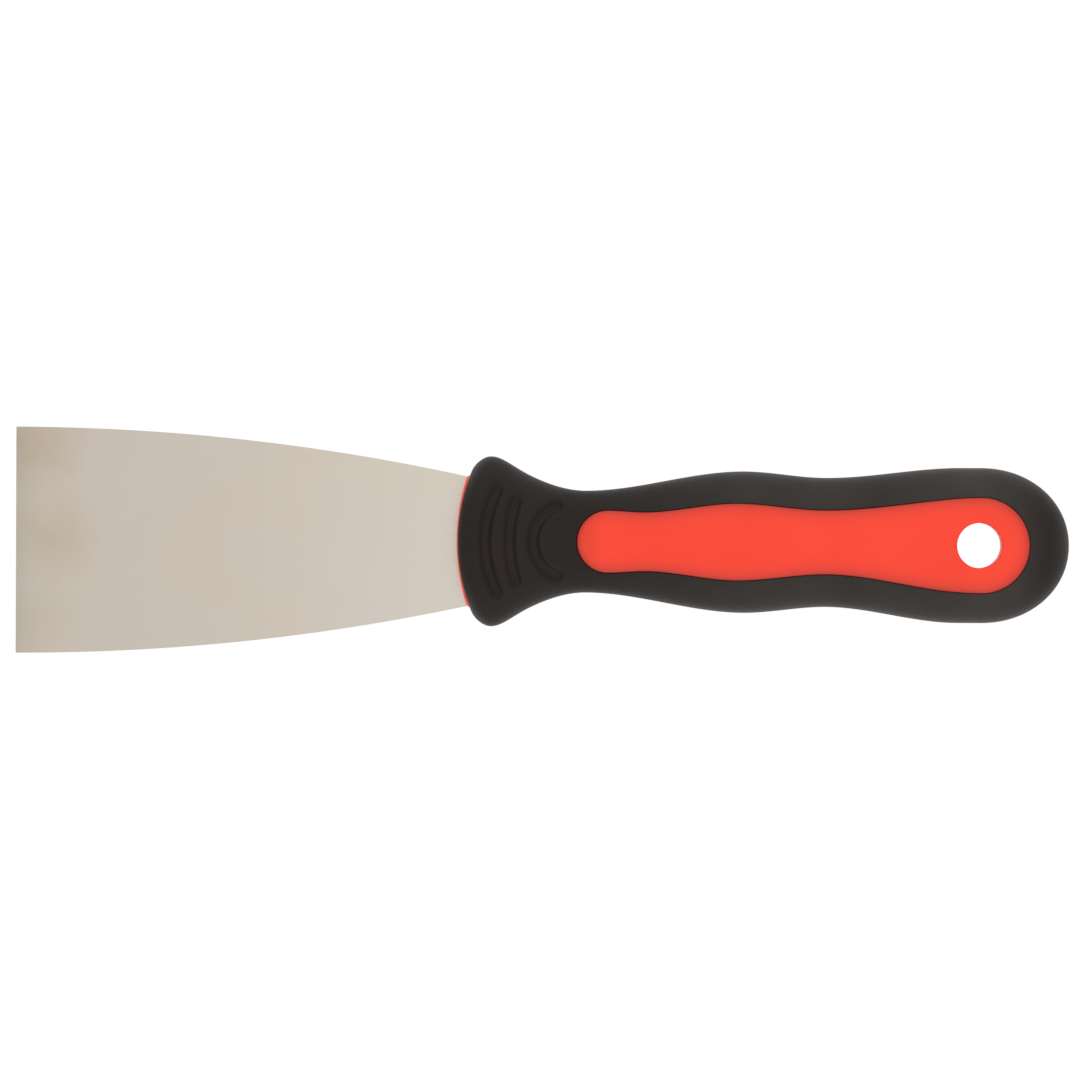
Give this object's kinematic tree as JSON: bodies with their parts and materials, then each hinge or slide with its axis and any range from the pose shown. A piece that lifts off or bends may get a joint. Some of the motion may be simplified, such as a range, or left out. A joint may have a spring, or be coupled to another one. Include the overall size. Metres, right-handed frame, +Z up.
{
  "type": "flexible putty knife",
  "caption": "Flat flexible putty knife with a flared steel blade, a contoured two-material handle with long windows on both faces, a grooved collar and a hang hole.",
  "frame": {"origin": "under the middle of the knife's length and width, in the plane that it lies on", "axes": "+X from the blade's edge to the hang hole, +Y across the blade's width, +Z up through the faces of the handle"},
  "size_m": [0.2328, 0.05, 0.0203],
  "materials": {
    "blade_steel": "satin ground spring steel, warm grey, fine lengthwise grind lines, faintly clouded towards the edge",
    "core_plastic": "orange-red hard plastic, satin, softly rounded shoulders",
    "grip_rubber": "matt black thermoplastic rubber with a fine spark texture"
  },
  "bodies": {
    "handle": {"handle_core": "core_plastic", "grip_overmould": "grip_rubber", "blade_root": "blade_steel"},
    "blade": {"blade_leaf": "blade_steel"}
  },
  "joints": [
    {"name": "blade_flex", "type": "hinge", "parent": "handle", "child": "blade", "pos_m": [-0.04334, 0, 0.01015], "axis": [0, 1, 0], "range_deg": [-30, 30], "stiffness_Nm_per_rad": 2.2}
  ]
}
